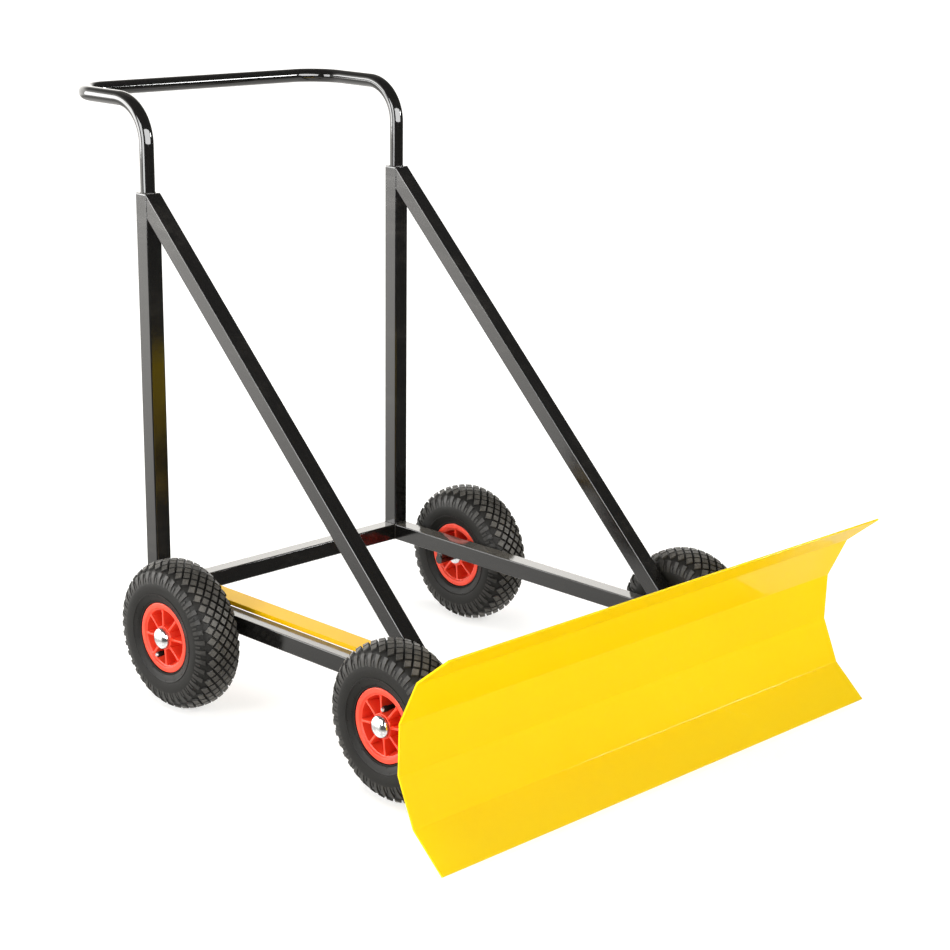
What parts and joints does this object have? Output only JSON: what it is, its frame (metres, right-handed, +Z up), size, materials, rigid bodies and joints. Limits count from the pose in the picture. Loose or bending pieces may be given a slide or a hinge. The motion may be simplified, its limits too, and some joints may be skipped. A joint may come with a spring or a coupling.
{
  "type": "wheeled snow shovel",
  "caption": "Push-along snow shovel: a folded steel blade on a welded tube frame with pneumatic wheels and a bent handle; the blade swings on a side hinge and a clamped strut.",
  "frame": {"origin": "middle of the part's outline, on the ground under the tyres", "axes": "+Z up; -Y the way it is pushed, so the blade is at -Y and the handle at +Y; +X the driver's left"},
  "size_m": [1.02, 1.1942, 1.0225],
  "materials": {
    "frame_paint": "gloss black paint",
    "handle_paint": "high-gloss black paint",
    "blade_paint": "gloss yellow paint",
    "rim_plastic": "red, satin",
    "tyre": "moulded black rubber, dusty tread",
    "tube_rubber": "black rubber",
    "zinc_steel": "bright zinc plate",
    "bearing_steel": "ground steel",
    "cap_chrome": "bright",
    "plug_plastic": "matt black"
  },
  "bodies": {
    "frame": {"left_side_rail": "frame_paint", "right_side_rail": "frame_paint", "rear_crossbar": "frame_paint", "front_crossbar": "frame_paint", "left_upright": "frame_paint", "right_upright": "frame_paint", "left_brace": "frame_paint", "right_brace": "frame_paint", "push_handle": "handle_paint", "upright_caps": "frame_paint", "rail_end_plugs": "plug_plastic", "rail_front_plates": "frame_paint", "axle_blocks": "frame_paint", "rear_left_axle": "frame_paint", "rear_right_axle": "frame_paint", "front_left_axle": "frame_paint", "front_right_axle": "frame_paint", "inner_washers": "zinc_steel", "outer_washers": "zinc_steel", "axle_caps": "cap_chrome", "hinge_lugs": "frame_paint", "hinge_pin": "zinc_steel", "hinge_pin_clip": "zinc_steel", "front_strut_guide": "frame_paint", "rear_strut_guide": "frame_paint"},
    "rear_left_wheel": {"rear_left_tyre": "tyre", "rear_left_inner_tube": "tube_rubber", "rear_left_rim": "rim_plastic", "rear_left_bearings": "bearing_steel", "rear_left_valve": "tube_rubber"},
    "rear_right_wheel": {"rear_right_tyre": "tyre", "rear_right_inner_tube": "tube_rubber", "rear_right_rim": "rim_plastic", "rear_right_bearings": "bearing_steel", "rear_right_valve": "tube_rubber"},
    "front_left_wheel": {"front_left_tyre": "tyre", "front_left_inner_tube": "tube_rubber", "front_left_rim": "rim_plastic", "front_left_bearings": "bearing_steel", "front_left_valve": "tube_rubber"},
    "front_right_wheel": {"front_right_tyre": "tyre", "front_right_inner_tube": "tube_rubber", "front_right_rim": "rim_plastic", "front_right_bearings": "bearing_steel", "front_right_valve": "tube_rubber"},
    "blade": {"blade": "blade_paint", "blade_hinge_eye": "blade_paint", "strut_lugs": "blade_paint", "left_blade_rib": "blade_paint", "right_blade_rib": "blade_paint"},
    "strut": {"angle_strut": "blade_paint", "strut_pin": "zinc_steel", "strut_pin_clip": "zinc_steel"},
    "clamp_screw": {"clamp_screw": "zinc_steel"}
  },
  "joints": [
    {"name": "rear_left_wheel_spin", "type": "hinge", "parent": "frame", "child": "rear_left_wheel", "pos_m": [0.345, 0.23056, 0.13], "axis": [1, 0, 0], "continuous": true},
    {"name": "rear_right_wheel_spin", "type": "hinge", "parent": "frame", "child": "rear_right_wheel", "pos_m": [-0.345, 0.23056, 0.13], "axis": [1, 0, 0], "continuous": true},
    {"name": "front_left_wheel_spin", "type": "hinge", "parent": "frame", "child": "front_left_wheel", "pos_m": [0.345, -0.31744, 0.13], "axis": [1, 0, 0], "continuous": true},
    {"name": "front_right_wheel_spin", "type": "hinge", "parent": "frame", "child": "front_right_wheel", "pos_m": [-0.345, -0.31744, 0.13], "axis": [1, 0, 0], "continuous": true},
    {"name": "blade_swing", "type": "hinge", "parent": "frame", "child": "blade", "pos_m": [0.282, -0.43044, 0.157], "axis": [0, 0, 1], "range_deg": [0, 20]},
    {"name": "strut_slide", "type": "slide", "parent": "frame", "child": "strut", "axis": [0, -1, 0], "range_m": [0, 0.191]},
    {"name": "clamp_screw_turn", "type": "hinge", "parent": "frame", "child": "clamp_screw", "pos_m": [-0.2465, -0.36244, 0.19], "axis": [0, 0, 1], "range_deg": [0, 360]}
  ],
  "couplings": [
    {"joint": "strut_slide", "follows": "blade_swing", "m_per_rad": 0.546}
  ]
}
